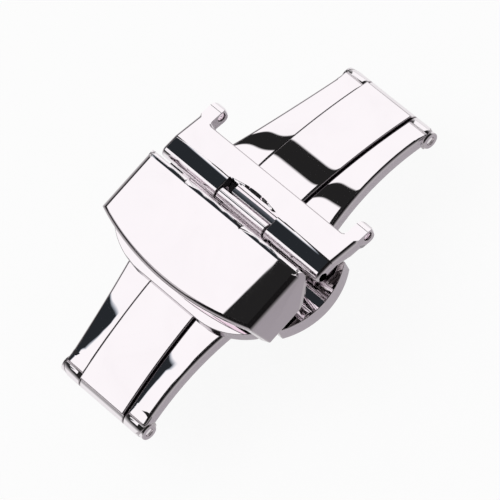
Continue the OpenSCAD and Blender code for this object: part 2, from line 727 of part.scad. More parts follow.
// Cover: crowned top with a curved front edge and two slanted flanks, open at
// the front and at the rear, with a knuckle inside near each rear corner
module cover() {
    slope = flank_out / flank_h;
    in_top_y = cover_half_w + slope * cover_t - flank_t;
    in_low_y = cover_half_w + slope * (flank_h + past) - flank_t;
    long = 2 * cover_l;
    web_h = cover_h - cover_t / 2 - cover_pin_z;
    color("gainsboro") place() difference() {
        union() {
            translate([0, 0, cover_h]) rotate([0, -cover_tilt, 0]) difference() {
                intersection() {
                    translate([-long, 0, 0]) rotate([90, 0, 90]) linear_extrude(long + past)
                        difference() {
                            cover_section();
                            polygon([[-in_top_y, -cover_t], [in_top_y, -cover_t],
                                     [in_low_y, -flank_h - past], [-in_low_y, -flank_h - past]]);
                        }
                    across(-long, long)
                        polygon([[-long, past], [brow, past], [brow, -cover_t],
                                 [0, -cover_t - brow], [0, -rear_wall_drop],
                                 [-rear_chamfer_x, -flank_h], [-long, -flank_h]]);
                    translate([0, 0, -long]) linear_extrude(2 * long) difference() {
                        translate([front_centre_x, 0]) circle(r = front_r, $fn = arc_fn);
                        translate([brow + rear_r - rear_bow, 0])
                            circle(r = rear_r, $fn = arc_fn * 2);
                        translate([past, -long]) square([2 * front_r, 2 * long]);
                    }
                }
                rear_waste();
            }
            for (sy = [-1, 1]) on_y(sy) translate([-cover_pin_x, 0, cover_pin_z]) {
                bar(cover_knuckle_r, cover_knuckle_in_y, cover_knuckle_out_y);
                translate([-cover_knuckle_r, cover_knuckle_in_y, 0])
                    cube([2 * cover_knuckle_r, cover_knuckle_out_y - cover_knuckle_in_y, web_h]);
            }
        }
        translate([-cover_pin_x, 0, cover_pin_z]) {
            bar(cover_pin_r + pin_clear, -cover_knuckle_out_y - side_gap, cover_knuckle_out_y + side_gap);
            bar(cover_knuckle_r + side_gap, -cover_knuckle_in_y, cover_knuckle_in_y);
        }
    }
}

module cover_pin() {
    half_l = cover_knuckle_out_y - side_gap;
    color("silver") place()
        translate([-cover_pin_x, 0, cover_pin_z]) bar(cover_pin_r, -half_l, half_l);
}

// Push button at the back: a D shaped plate with a socket for its latch plate
module button() {
    place() difference() {
        translate([0, 0, button_top_z - button_h]) linear_extrude(button_h) difference() {
            intersection() {
                translate([0, button_reach - button_r]) circle(r = button_r, $fn = arc_fn);
                translate([-button_half_l, button_in_y]) square([2 * button_half_l, button_reach]);
            }
            for (sx = [-1, 1]) on_x(sx)
                corner_waste([0, button_in_y], [button_half_l, button_in_y],
                             [button_half_l, button_reach], button_corner_r);
        }
        translate([-stem_half_l - tenon_gap, 0, latch_low_z - tenon_gap])
            cube([2 * (stem_half_l + tenon_gap), button_in_y + tenon_l + tenon_gap,
                  latch_t + 2 * tenon_gap]);
    }
}

module button_front() {
    color("gainsboro") on_y(-1) button();
}

module button_back() {
    color("gainsboro") button();
}

// Latch plate of the back button: two windows for the hooks, a crossbar that
// the barbs lie under, a stem for the button and a spigot for the spring
module latch() {
    place() {
        translate([0, 0, latch_low_z]) linear_extrude(latch_t) {
            difference() {
                translate([-latch_half_l, latch_in_y])
                    square([2 * latch_half_l, shoulder_y - latch_in_y]);
                for (sx = [-1, 1]) on_x(sx) translate([window_in_x, window_in_y])
                    square([window_out_x - window_in_x, window_out_y - window_in_y]);
            }
            translate([-stem_half_l, window_out_y + hook_gap])
                square([2 * stem_half_l, button_in_y + tenon_l - window_out_y - hook_gap]);
        }
        translate([0, 0, latch_mid_z])
            bar(spring_r - 1.5 * wire_r, latch_in_y - spigot_l, latch_in_y + spigot_l);
    }
}

module latch_front() {
    color("silver") on_y(-1) latch();
}

module latch_back() {
    color("silver") latch();
}

// Wire of the back spring: rings of six points along a helix about the Y axis
module spring() {
    steps = spring_turns * 20;
    free_l = spring_l - 2 * (wire_r + spring_end_gap);
    points = [for (i = [0 : steps], k = [0 : 5])
        let (turn = i * 18, t = k * 60, r = spring_r + wire_r * cos(t),
             y = post_half_w + wire_r + spring_end_gap + free_l * i / steps + wire_r * sin(t))
        [r * sin(turn), y, r * cos(turn)]];
    sides = [for (i = [0 : steps - 1], k = [0 : 5])
        let (a = 6 * i + k, b = 6 * i + (k + 1) % 6)
        [a, b, b + 6, a + 6]];
    start = [for (k = [5 : -1 : 0]) k];
    end = [for (k = [0 : 5]) 6 * steps + k];
    place() translate([0, 0, latch_mid_z])
        polyhedron(points = points, faces = concat(sides, [start], [end]), convexity = 8);
}

module spring_front() {
    color("silver") on_y(-1) spring();
}

module spring_back() {
    color("silver") spring();
}

base_plate();
catch_housing();
housing_floor();
housing_rivets();
arm_left();
arm_right();
end_pin_left();
end_pin_right();
strap_lug();
lug_pin();
strap_plate();
plate_pin();
strap_stud();
cover();
cover_pin();
button_front();
button_back();
latch_front();
latch_back();
spring_front();
spring_back();
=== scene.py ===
"""Looks of a push button watch clasp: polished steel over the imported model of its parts."""

import json
import math

import bmesh
import bpy
import numpy as np
from mathutils import Matrix, Vector


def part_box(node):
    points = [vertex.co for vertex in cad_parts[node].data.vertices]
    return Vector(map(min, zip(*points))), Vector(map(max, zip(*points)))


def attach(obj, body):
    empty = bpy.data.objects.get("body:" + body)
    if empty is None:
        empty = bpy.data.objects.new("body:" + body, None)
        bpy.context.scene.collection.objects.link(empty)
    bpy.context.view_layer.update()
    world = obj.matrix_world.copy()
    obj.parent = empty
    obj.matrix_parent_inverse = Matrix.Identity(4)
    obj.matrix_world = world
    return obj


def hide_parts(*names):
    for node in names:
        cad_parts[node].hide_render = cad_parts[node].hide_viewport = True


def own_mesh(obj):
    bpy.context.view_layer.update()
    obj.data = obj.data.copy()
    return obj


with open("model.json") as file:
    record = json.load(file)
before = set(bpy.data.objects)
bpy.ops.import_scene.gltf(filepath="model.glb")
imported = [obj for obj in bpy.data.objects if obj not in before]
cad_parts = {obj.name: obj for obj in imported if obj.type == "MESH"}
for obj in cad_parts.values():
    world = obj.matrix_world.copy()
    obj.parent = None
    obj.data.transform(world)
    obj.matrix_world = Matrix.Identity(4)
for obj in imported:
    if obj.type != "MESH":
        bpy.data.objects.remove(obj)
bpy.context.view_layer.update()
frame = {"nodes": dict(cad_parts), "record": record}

bl_info = {
    "name": "Watch clasp looks",
    "version": (1, 0, 0),
    "blender": (4, 5, 0),
    "location": "3D View > Sidebar > Watch clasp",
    "description": "Rounds, polishes and lights the pieces of a watch clasp",
    "category": "Object",
}

MM = 0.001
# Width that a round of weight 1 has, in millimetres, and least bend in degrees of an edge
# that gets a round where nothing else is said
WIDEST_ROUND = 0.7
LEAST_BEND = 28.0

# Depth of the floor under the closed clasp: the open cover hangs 9.74 mm down
FLOOR_DROP = 10.0 * MM
# Height of the clasp's middle line over its feet, at which the camera looks, and the shift
# of the photograph's frame
AIM_HEIGHT = 5.819 * MM
SHIFT = (0.0313, -0.0424)

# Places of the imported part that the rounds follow, in millimetres

# Place along X, height and radius of the bores in the arms
END_BORE = (18.55, 0.95, 0.43)
LUG_PIN_BORE = (1.6, 6.619, 0.38)
PLATE_PIN_BORE = (-1.25, 6.519, 0.33)
# Height of the middle of the arc that the arms follow, and radius of their tops
ARC_HEIGHT = -44.781
ARM_TOP_R = 50.3
# Where the round of the arms' outer edges gets smaller, and all rounds beyond the second
ARM_CUTS = (17.4, 17.8)
END_ROUND = 0.095
# The lug's flat top, and where it bends and meets its slope
LUG_TOP = 7.339
LUG_BEND_START = 2.95
LUG_BEND = 3.35
# The arc of the lug's notch, and the front of the facet behind its rim
NOTCH_MIDDLE = -5.393
NOTCH_R = 9.093
RIM_X = 3.34
# Where the ears begin, and place along X and height of their bores
EAR_CUT = 5.9
EAR_BORE = (7.2, 5.819)
# Turn of the cover, height of its long top edges, rise of its crown and width of that
# parabola, and middle and radius of its round rear edge
COVER_TURN = math.radians(4.5)
COVER_TOP = 9.269
CROWN_RISE = 0.3
CROWN_WIDTH = 330.3
REAR_MIDDLE = -0.1
REAR_ROUND = 0.45

# Roughness of the clean and of the worn steel, and amount of scratches
MIRROR = (0.012, 0.035, 0.3)
RUBBED = (0.05, 0.14, 0.5)
# Crowns of the strip and of the rails, in millimetres
STRIP_CROWN = {"Inner": -2.95, "Waist": 2.95, "Flare": 0.0, "Widest": 2.95,
               "Roll Left": 0.004, "Roll Right": 0.02, "Power": 10.0}
RAIL_CROWN = {"Roll Left": 0.035, "Roll Right": 0.035, "Power": 4.0,
              "Lean Left": 0.05, "Lean Right": -0.03}


# Sizes and colours

class ClaspSizes(bpy.types.PropertyGroup):
    fine_edge: bpy.props.FloatProperty(
        name="Fine edge",
        description="Rounding of the plain edges of the base, the lug, the cover and the buttons",
        default=0.08 * MM, min=0.02 * MM, max=0.2 * MM, unit="LENGTH", precision=5)
    rail_edge: bpy.props.FloatProperty(
        name="Rail edge", description="Rounding of the edges of the forked arms",
        default=0.16 * MM, min=0.02 * MM, max=0.2 * MM, unit="LENGTH", precision=5)
    inner_edge: bpy.props.FloatProperty(
        name="Inner edge", description="Rounding of the edges of the stamped inner plates",
        default=0.05 * MM, min=0.01 * MM, max=0.1 * MM, unit="LENGTH", precision=5)
    pin_edge: bpy.props.FloatProperty(
        name="Pin edge", description="Rounding of the ends of the hinge pins",
        default=0.07 * MM, min=0.01 * MM, max=0.15 * MM, unit="LENGTH", precision=5)
    wire_turns: bpy.props.IntProperty(
        name="Spring turns", description="Turns of wire in each button spring",
        default=7, min=3, max=12)
    wire_radius: bpy.props.FloatProperty(
        name="Spring wire", description="Radius of the wire of the button springs",
        default=0.055 * MM, min=0.02 * MM, max=0.08 * MM, unit="LENGTH", precision=5)


class ClaspColours(bpy.types.PropertyGroup):
    steel: bpy.props.FloatVectorProperty(
        name="Steel", description="Colour of the polished steel",
        default=(0.975, 0.925, 0.955), min=0, max=1, size=3, subtype="COLOR")
    steel_worn: bpy.props.FloatVectorProperty(
        name="Worn steel", description="Colour of the steel where it has been rubbed",
        default=(0.93, 0.88, 0.91), min=0, max=1, size=3, subtype="COLOR")
    # The edge colour is darker than the steel as painted shade, for the dark lines that rounded
    # polished edges reflect
    edge: bpy.props.FloatVectorProperty(
        name="Edges", description="Colour of the rounded edges of the polished pieces",
        default=(0.5, 0.46, 0.48), min=0, max=1, size=3, subtype="COLOR")
    # The flank colour is darker than the steel as painted shade, for sides that face the shadowed
    # floor; only its grain is the steel's own
    flank: bpy.props.FloatVectorProperty(
        name="Flank", description="Colour of the finely ground sides of the polished pieces",
        default=(0.46, 0.41, 0.45), min=0, max=1, size=3, subtype="COLOR")
    satin: bpy.props.FloatVectorProperty(
        name="Satin steel", description="Colour of the brushed inner plates",
        default=(0.66, 0.63, 0.63), min=0, max=1, size=3, subtype="COLOR")
    wire: bpy.props.FloatVectorProperty(
        name="Spring wire", description="Colour of the drawn spring wire",
        default=(0.6, 0.58, 0.56), min=0, max=1, size=3, subtype="COLOR")
    floor: bpy.props.FloatVectorProperty(
        name="Floor", description="Colour of the floor",
        default=(0.88, 0.88, 0.88), min=0, max=1, size=3, subtype="COLOR")


class ClaspStage(bpy.types.PropertyGroup):
    azimuth: bpy.props.FloatProperty(
        name="Azimuth", description="Camera's turn round the clasp",
        default=math.radians(-15.04), subtype="ANGLE")
    elevation: bpy.props.FloatProperty(
        name="Elevation", description="Camera's height over the floor as an angle",
        default=math.radians(58.77), subtype="ANGLE")
    roll: bpy.props.FloatProperty(
        name="Roll", description="Camera's turn about its own axis",
        default=math.radians(32.96), subtype="ANGLE")
    distance: bpy.props.FloatProperty(
        name="Distance", description="Camera's distance from the middle of the clasp",
        default=0.5, min=0.1, max=3, unit="LENGTH")
    lens: bpy.props.FloatProperty(
        name="Lens", description="Focal length of the camera in millimetres",
        default=397.4, min=50, max=800, unit="CAMERA")
    lamp_power: bpy.props.FloatProperty(
        name="Lamp power", description="Power of the soft box in watts",
        default=0.55, min=0, max=20)
    lamp_size: bpy.props.FloatProperty(
        name="Lamp size", description="Width of the soft box",
        default=0.35, min=0.05, max=1, unit="LENGTH")
    sky: bpy.props.FloatProperty(
        name="Sky", description="Strength of the light from all round",
        default=0.72, min=0, max=1.5)


# Shader nodes

def add(tree, kind, at=None, **settings):
    """A node of that kind, with its settings or socket values given by name."""
    node = tree.nodes.new(kind)
    for name, value in settings.items():
        if name in node.inputs.keys():
            node.inputs[name].default_value = value
        else:
            setattr(node, name, value)
    if at is not None:
        node.location = at
    return node


def calc(tree, operation, a, b=None, c=None, clamp=False):
    """Output of a Math node, whose inputs are sockets or plain numbers."""
    node = tree.nodes.new("ShaderNodeMath")
    node.operation = operation
    node.use_clamp = clamp
    for place, value in enumerate((a, b, c)):
        if value is None:
            continue
        if isinstance(value, (int, float)):
            node.inputs[place].default_value = value
        else:
            tree.links.new(value, node.inputs[place])
    return node.outputs[0]


def new_group(name, inputs, outputs):
    """Empty shader group with named sockets, its input node and its output node."""
    tree = bpy.data.node_groups.new(name, "ShaderNodeTree")
    for title, kind, default in inputs:
        socket = tree.interface.new_socket(title, in_out="INPUT", socket_type=kind)
        if default is not None:
            socket.default_value = default
    for title, kind in outputs:
        tree.interface.new_socket(title, in_out="OUTPUT", socket_type=kind)
    return tree, tree.nodes.new("NodeGroupInput"), tree.nodes.new("NodeGroupOutput")


def stretched_noise(tree, vector, stretch, turn, detail=2.0, roughness=0.5):
    """Noise stretched along one axis: the coordinates are turned, then scaled per axis."""
    mapping = add(tree, "ShaderNodeMapping", Scale=stretch, Rotation=turn)
    tree.links.new(vector, mapping.inputs["Vector"])
    noise = add(tree, "ShaderNodeTexNoise", Scale=1.0, Detail=detail, Roughness=roughness)
    tree.links.new(mapping.outputs[0], noise.inputs["Vector"])
    return noise.outputs["Fac"]


def hairline_group():
    """Fine scratches: three stretched noises at different turns, each kept only at its
    rarest peaks, and the highest of the three is the mask."""
    tree, source, sink = new_group(
        "hairline_scratches",
        [("Vector", "NodeSocketVector", None), ("Amount", "NodeSocketFloat", 0.5)],
        [("Mask", "NodeSocketFloat")])
    vector = source.outputs["Vector"]
    limit = calc(tree, "MULTIPLY_ADD", source.outputs["Amount"], -0.12, 0.76)
    masks = []
    for turn, stretch in ((0.3, (260, 14000, 900)), (1.25, (320, 17000, 900)),
                          (-0.7, (240, 12000, 900))):
        fine = stretched_noise(tree, vector, stretch, (0, 0, turn))
        over = calc(tree, "SUBTRACT", fine, limit)
        masks.append(calc(tree, "MULTIPLY", over, 14.0, clamp=True))
    best = calc(tree, "MAXIMUM", calc(tree, "MAXIMUM", masks[0], masks[1]), masks[2])
    tree.links.new(best, sink.inputs["Mask"])
    return tree


def smudge_group():
    """Smudges of handling: broad noise warped by itself, squared so that clean steel stays
    clean."""
    tree, source, sink = new_group(
        "handling_smudges",
        [("Vector", "NodeSocketVector", None), ("Scale", "NodeSocketFloat", 160.0)],
        [("Mask", "NodeSocketFloat")])
    noise = add(tree, "ShaderNodeTexNoise", Detail=4.0, Roughness=0.6, Distortion=0.8)
    tree.links.new(source.outputs["Vector"], noise.inputs["Vector"])
    tree.links.new(source.outputs["Scale"], noise.inputs["Scale"])
    ramp = calc(tree, "MULTIPLY_ADD", noise.outputs["Fac"], 2.6, -0.9, clamp=True)
    tree.links.new(calc(tree, "POWER", ramp, 2.0), sink.inputs["Mask"])
    return tree


def grain_group():
    """Brushed grain: long noise lines along one axis, coarse and fine ones added."""
    tree, source, sink = new_group(
        "brushed_grain",
        [("Vector", "NodeSocketVector", None)],
        [("Lines", "NodeSocketFloat")])
    vector = source.outputs["Vector"]
    coarse = stretched_noise(tree, vector, (180, 9000, 9000), (0, 0, 0), 3.0, 0.6)
    fine = stretched_noise(tree, vector, (420, 26000, 26000), (0, 0, 0), 2.0, 0.5)
    half = calc(tree, "MULTIPLY", fine, 0.45)
    tree.links.new(calc(tree, "MULTIPLY_ADD", coarse, 0.55, half), sink.inputs["Lines"])
    return tree


def groups():
    """The shared shader groups, each built once."""
    makers = {"hairline_scratches": hairline_group, "handling_smudges": smudge_group,
              "brushed_grain": grain_group, "rolled_crown": crown_group}
    return {name: bpy.data.node_groups.get(name) or make() for name, make in makers.items()}


def place_group(tree, name, vector, **values):
    """A shared group placed in a material, reading that vector, with its own values."""
    node = tree.nodes.new("ShaderNodeGroup")
    node.node_tree = groups()[name]
    tree.links.new(vector, node.inputs["Vector"])
    for title, value in values.items():
        node.inputs[title].default_value = value
    return node.outputs[0]


def mix_colour(tree, mask, low, high):
    """Colour between low and high by the mask."""
    node = tree.nodes.new("ShaderNodeMix")
    node.data_type = "RGBA"
    node.inputs["A"].default_value = (*low, 1)
    node.inputs["B"].default_value = (*high, 1)
    tree.links.new(mask, node.inputs["Factor"])
    return node.outputs["Result"]


def new_steel(name):
    """Empty metal material, its tree, its shader and its Object coordinates."""
    material = bpy.data.materials.new(name)
    material.use_nodes = True
    tree = material.node_tree
    shader = tree.nodes["Principled BSDF"]
    shader.inputs["Metallic"].default_value = 1.0
    shader.inputs["IOR"].default_value = 2.5
    place = tree.nodes.new("ShaderNodeTexCoord").outputs["Object"]
    return material, tree, shader, place


def bump(tree, shader, height, strength, depth):
    """Bump of that depth in metres, from a height between 0 and 1."""
    node = add(tree, "ShaderNodeBump", Strength=strength, Distance=depth)
    tree.links.new(height, node.inputs["Height"])
    tree.links.new(node.outputs["Normal"], shader.inputs["Normal"])


def crown_group():
    """Crown of a band that was polished by hand: flat in its middle, with its two long
    edges rolled off. The height in millimetres is -Roll times the power of the place
    across the band, which is -1 at the inner edge and 1 at the outer, less Lean times that
    place; both have a value for each side of the middle line. The outer edge is Waist from
    the middle at the end hinge and flares along a circle of Flare from there; a Flare of 0
    keeps it straight."""
    tree, source, sink = new_group(
        "rolled_crown",
        [("Vector", "NodeSocketVector", None), ("Inner", "NodeSocketFloat", 3.05),
         ("Waist", "NodeSocketFloat", 5.4), ("Flare", "NodeSocketFloat", 54.0),
         ("End", "NodeSocketFloat", 18.55), ("Widest", "NodeSocketFloat", 7.4),
         ("Roll Left", "NodeSocketFloat", 0.03), ("Roll Right", "NodeSocketFloat", 0.03),
         ("Power", "NodeSocketFloat", 4.0),
         ("Lean Left", "NodeSocketFloat", 0.0), ("Lean Right", "NodeSocketFloat", 0.0)],
        [("Height", "NodeSocketFloat")])
    socket = source.outputs
    split = tree.nodes.new("ShaderNodeSeparateXYZ")
    tree.links.new(socket["Vector"], split.inputs[0])
    x = calc(tree, "MULTIPLY", split.outputs["X"], 1.0 / MM)
    y = calc(tree, "MULTIPLY", split.outputs["Y"], 1.0 / MM)
    along = calc(tree, "SUBTRACT", socket["End"], calc(tree, "ABSOLUTE", x))
    flare_squared = calc(tree, "POWER", socket["Flare"], 2.0)
    reach = calc(tree, "SUBTRACT", flare_squared, calc(tree, "POWER", along, 2.0))
    reach = calc(tree, "SQRT", calc(tree, "MAXIMUM", reach, 0.0))
    rise = calc(tree, "SUBTRACT", socket["Flare"], reach)
    outer = calc(tree, "MINIMUM", calc(tree, "ADD", socket["Waist"], rise), socket["Widest"])
    half = calc(tree, "MULTIPLY", calc(tree, "SUBTRACT", outer, socket["Inner"]), 0.5)
    middle = calc(tree, "MULTIPLY", calc(tree, "ADD", outer, socket["Inner"]), 0.5)
    across = calc(tree, "DIVIDE", calc(tree, "SUBTRACT", calc(tree, "ABSOLUTE", y), middle), half)
    held = calc(tree, "MAXIMUM", calc(tree, "MINIMUM", across, 1.0), -1.0)
    is_left = calc(tree, "GREATER_THAN", y, 0.0)
    is_right = calc(tree, "SUBTRACT", 1.0, is_left)

    def by_side(title):
        """The value of that name for the side of the middle line."""
        left = calc(tree, "MULTIPLY", is_left, socket[title + " Left"])
        return calc(tree, "MULTIPLY_ADD", is_right, socket[title + " Right"], left)

    rolled = calc(tree, "POWER", calc(tree, "ABSOLUTE", held), socket["Power"])
    fall = calc(tree, "MULTIPLY", rolled, by_side("Roll"))
    fall = calc(tree, "ADD", fall, calc(tree, "MULTIPLY", held, by_side("Lean")))
    tree.links.new(calc(tree, "MULTIPLY", fall, -1.0), sink.inputs["Height"])
    return tree


def polished_steel(name, clean, worn, clean_roughness, worn_roughness, scratches, crown=None):
    """Mirror polish: smudges and hairline scratches raise the roughness and dull the
    colour a little, and a slow swell with the scratches makes the bump. A crown gives the
    values of the rolled crown of that piece."""
    material, tree, shader, place = new_steel(name)
    smudges = place_group(tree, "handling_smudges", place, Scale=170.0)
    lines = place_group(tree, "hairline_scratches", place, Amount=scratches)
    both = calc(tree, "MULTIPLY_ADD", lines, 0.5, calc(tree, "MULTIPLY", smudges, 0.6), clamp=True)
    tree.links.new(mix_colour(tree, both, clean, worn), shader.inputs["Base Color"])
    span = worn_roughness - clean_roughness
    roughness = calc(tree, "MULTIPLY_ADD", both, span, clean_roughness)
    tree.links.new(roughness, shader.inputs["Roughness"])
    swell = stretched_noise(tree, place, (260, 260, 260), (0, 0, 0), 1.0, 0.4)
    height = calc(tree, "MULTIPLY_ADD", lines, -0.02, swell)
    # The swell is a few micrometres high, the crown some tens of them
    height = calc(tree, "MULTIPLY", height, 0.0014)
    if crown:
        height = calc(tree, "ADD", height, place_group(tree, "rolled_crown", place, **crown))
    bump(tree, shader, height, 1.0, MM)
    return material


def ground_flank_painted_shade(name, colours):
    """Finely ground side: faint grain along the piece, duller than the polish. Its darker colour is
    painted shade, for the grey of sides that face the shadowed floor.
    """
    material, tree, shader, place = new_steel(name)
    lines = place_group(tree, "brushed_grain", place)
    darker = tuple(0.92 * c for c in colours.flank)
    tree.links.new(mix_colour(tree, lines, darker, colours.flank), shader.inputs["Base Color"])
    tree.links.new(calc(tree, "MULTIPLY_ADD", lines, 0.06, 0.09), shader.inputs["Roughness"])
    bump(tree, shader, lines, 0.15, 2e-6)
    return material


def satin_steel(name, colours):
    """Brushed plate: grain lines vary colour, roughness and bump."""
    material, tree, shader, place = new_steel(name)
    lines = place_group(tree, "brushed_grain", place)
    darker = tuple(0.8 * c for c in colours.satin)
    tree.links.new(mix_colour(tree, lines, darker, colours.satin), shader.inputs["Base Color"])
    tree.links.new(calc(tree, "MULTIPLY_ADD", lines, 0.16, 0.2), shader.inputs["Roughness"])
    bump(tree, shader, lines, 0.5, 6e-6)
    return material


def turned_steel(name, colours):
    """Turned pin: fine rings across its length, from noise that changes only along Y."""
    material, tree, shader, place = new_steel(name)
    rings = stretched_noise(tree, place, (400, 15000, 400), (0, 0, 0), 2.0, 0.5)
    smudges = place_group(tree, "handling_smudges", place, Scale=420.0)
    colour = mix_colour(tree, smudges, colours.steel, colours.satin)
    tree.links.new(colour, shader.inputs["Base Color"])
    tree.links.new(calc(tree, "MULTIPLY_ADD", rings, 0.16, 0.06), shader.inputs["Roughness"])
    bump(tree, shader, rings, 0.3, 3e-6)
    return material


def drawn_wire(name, colours):
    """Drawn wire: streaks along the wire, from noise over the piece's own UV map."""
    material, tree, shader, place = new_steel(name)
    own = tree.nodes.new("ShaderNodeUVMap").outputs["UV"]
    streaks = stretched_noise(tree, own, (6, 60, 1), (0, 0, 0), 2.0, 0.6)
    darker = tuple(0.7 * c for c in colours.wire)
    tree.links.new(mix_colour(tree, streaks, darker, colours.wire), shader.inputs["Base Color"])
    tree.links.new(calc(tree, "MULTIPLY_ADD", streaks, 0.2, 0.16), shader.inputs["Roughness"])
    bump(tree, shader, streaks, 0.4, 3e-6)
    return material


def finish_named(name):
    """One of the clasp's finishes, made the first time it is asked for."""
    found = bpy.data.materials.get(name)
    if found:
        return found
    colours = bpy.context.scene.clasp_colours
    crowns = {"polished steel": None, "polished strip": STRIP_CROWN, "polished rails": RAIL_CROWN}
    if name in crowns:
        return polished_steel(name, colours.steel, colours.steel_worn, *MIRROR, crowns[name])
    # The edges' finish is polish painted dark as shade, and it dulls towards the flank's painted
    # shade
    if name == "polished edge with painted shade":
        return polished_steel(name, colours.edge, colours.flank, *RUBBED)
    # The flank finish has real grain, and its darker colour is painted shade
    if name == "ground flank with painted shade":
        return ground_flank_painted_shade(name, colours)
    if name == "satin steel":
        return satin_steel(name, colours)
    if name == "turned steel":
        return turned_steel(name, colours)
    if name == "drawn wire":
        return drawn_wire(name, colours)
    raise RuntimeError(f"no finish is named {name}")


# Meshes

def body_of(node):
    """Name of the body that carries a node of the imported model."""
    for body, nodes in frame["record"]["behaviour"]["bodies"].items():
        if node in nodes:
            return body
    raise RuntimeError(f"{node} has no body")


def link(name, mesh):
    """New object that holds the mesh, in the scene."""
    piece = bpy.data.objects.new(name, mesh)
    bpy.context.scene.collection.objects.link(piece)
    return piece


def bisect(work, faces, x):
    """Row of edges across those faces where a plane at x, in millimetres, cuts them."""
    near = {edge for face in faces for edge in face.edges}
    near |= {vert for face in faces for vert in face.verts}
    bmesh.ops.bisect_plane(work, geom=[*faces, *near], plane_co=(x * MM, 0, 0),
                           plane_no=(1, 0, 0), dist=1e-8)


def rounded_piece(node, finish, width, broad=None, segments=3, reshape=None, crease=18.0,
                  kept=None):
    """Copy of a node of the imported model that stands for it. Its doubles are merged and its
    flats made whole, but for the corners that kept names, reshape changes it, and its sharp
    edges get a round of that width. broad gives the width for the edge between two corners
    instead, in millimetres, None to leave it, or -1 for a crease without a round; an edge
    without a round is a crease from the angle of crease on."""
    mesh = bpy.data.meshes.new(node + "_rounded")
    work = bmesh.new()
    work.from_mesh(frame["nodes"][node].data)
    bmesh.ops.remove_doubles(work, verts=work.verts, dist=6e-6)
    free = {vert for vert in work.verts if not (kept and kept(vert))}
    bmesh.ops.dissolve_limit(
        work, angle_limit=math.radians(0.15), verts=[vert for vert in work.verts if vert in free],
        edges=[edge for edge in work.edges if all(vert in free for vert in edge.verts)])
    if reshape:
        reshape(work)
        work.normal_update()
    shiny = finish.startswith("polished")
    for face in work.faces:
        face.smooth = True
        # Sideways faces of polished pieces get the ground flank, whose darker colour is painted
        # shade
        side = abs(face.normal.y) > 0.8 or node == "strap_plate" and face.normal.x < -0.6
        face.material_index = 2 if shiny and side else 0
    share = work.edges.layers.float.new("bevel_weight_edge")
    for edge in work.edges:
        first, last = (vert.co / MM for vert in edge.verts)
        special = broad(first, last) if broad else None
        bent = math.degrees(edge.calc_face_angle(0.0))
        if special is None:
            special = width / MM if bent > LEAST_BEND else 0.0
        elif special == END_ROUND and bent < LEAST_BEND or special > 0 and bent < 9:
            special = 0.0
        edge[share] = max(special, 0.0) / WIDEST_ROUND
        edge.smooth = special > 0 or special == 0 and bent < crease
    work.to_mesh(mesh)
    work.free()
    mesh.materials.append(finish_named(finish))
    if shiny:
        mesh.materials.append(finish_named("polished edge with painted shade"))
        mesh.materials.append(finish_named("ground flank with painted shade"))
    piece = link(node + "_rounded", mesh)
    rounding = piece.modifiers.new("rounded edges", "BEVEL")
    rounding.width = WIDEST_ROUND * MM
    rounding.segments = segments
    rounding.limit_method = "WEIGHT"
    rounding.miter_outer = "MITER_ARC"
    rounding.use_clamp_overlap = False
    rounding.loop_slide = False
    rounding.harden_normals = False
    # The rounds take the edge finish, so their darker colour is painted shade along the edges
    if shiny:
        rounding.material = 1
    shading = piece.modifiers.new("flat sides", "WEIGHTED_NORMAL")
    shading.weight = 80
    shading.keep_sharp = True
    shading.mode = "FACE_AREA_WITH_ANGLE"
    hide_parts(node)
    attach(piece, body_of(node))
    return piece


def cover_height(corner):
    """Height over the plane through the cover's two long top edges, in millimetres."""
    return corner.z - COVER_TOP - corner.x * math.tan(COVER_TURN)


def cover_round(first, last):
    """Broad round along the front and sides of the cover's top, whose rear edge is round as
    it is, and at the two corners of each flank's rear outline."""
    level = min(cover_height(first), cover_height(last))
    high = max(first.x, last.x)
    on_flank = min(abs(first.y), abs(last.y)) > 9.5 and level < -1.2
    if on_flank and abs(first.y - last.y) > 0.4 and high > -1.8:
        return 0.6
    if high > 0.05:
        return 0.0 if min(first.z, last.z) > 8.4 else None
    if level > -0.2 and (min(abs(first.y), abs(last.y)) > 9.8 or high < -6.0):
        return 0.4
    return None


def under_crown(vert):
    """Place of a point along the cover and up from the plane of its long top edges, in
    millimetres."""
    along, rise = math.cos(COVER_TURN), math.sin(COVER_TURN)
    x, z = vert.co.x / MM, vert.co.z / MM - COVER_TOP
    return (x * along + z * rise, z * along - x * rise)


def at_rear(vert):
    """Whether a point lies on the round of the cover's rear edge."""
    x, z = under_crown(vert)
    return x > -0.09 and z > -0.8 and abs(vert.co.y) < 10.1 * MM


def shape_rear(work):
    """Lays the cover's round rear edge true on its radius, and draws its start forwards, so
    that it bends more slowly."""
    along, rise = math.cos(COVER_TURN), math.sin(COVER_TURN)
    for vert in work.verts:
        x, z = under_crown(vert)
        crown = CROWN_RISE - (vert.co.y / MM) ** 2 / CROWN_WIDTH
        middle = crown - REAR_ROUND
        out, up = x - REAR_MIDDLE, z - middle
        reach = math.hypot(out, up)
        if out > 1e-4 and up > 1e-4 and abs(reach - REAR_ROUND) < 0.03:
            x, z = REAR_MIDDLE + out * REAR_ROUND / reach, middle + up * REAR_ROUND / reach
        if z > crown - 0.05 and -0.6 < x < -0.07:
            x -= 0.36 * (x + 0.6)
        vert.co.x = (x * along - z * rise) * MM
        vert.co.z = (COVER_TOP + x * rise + z * along) * MM


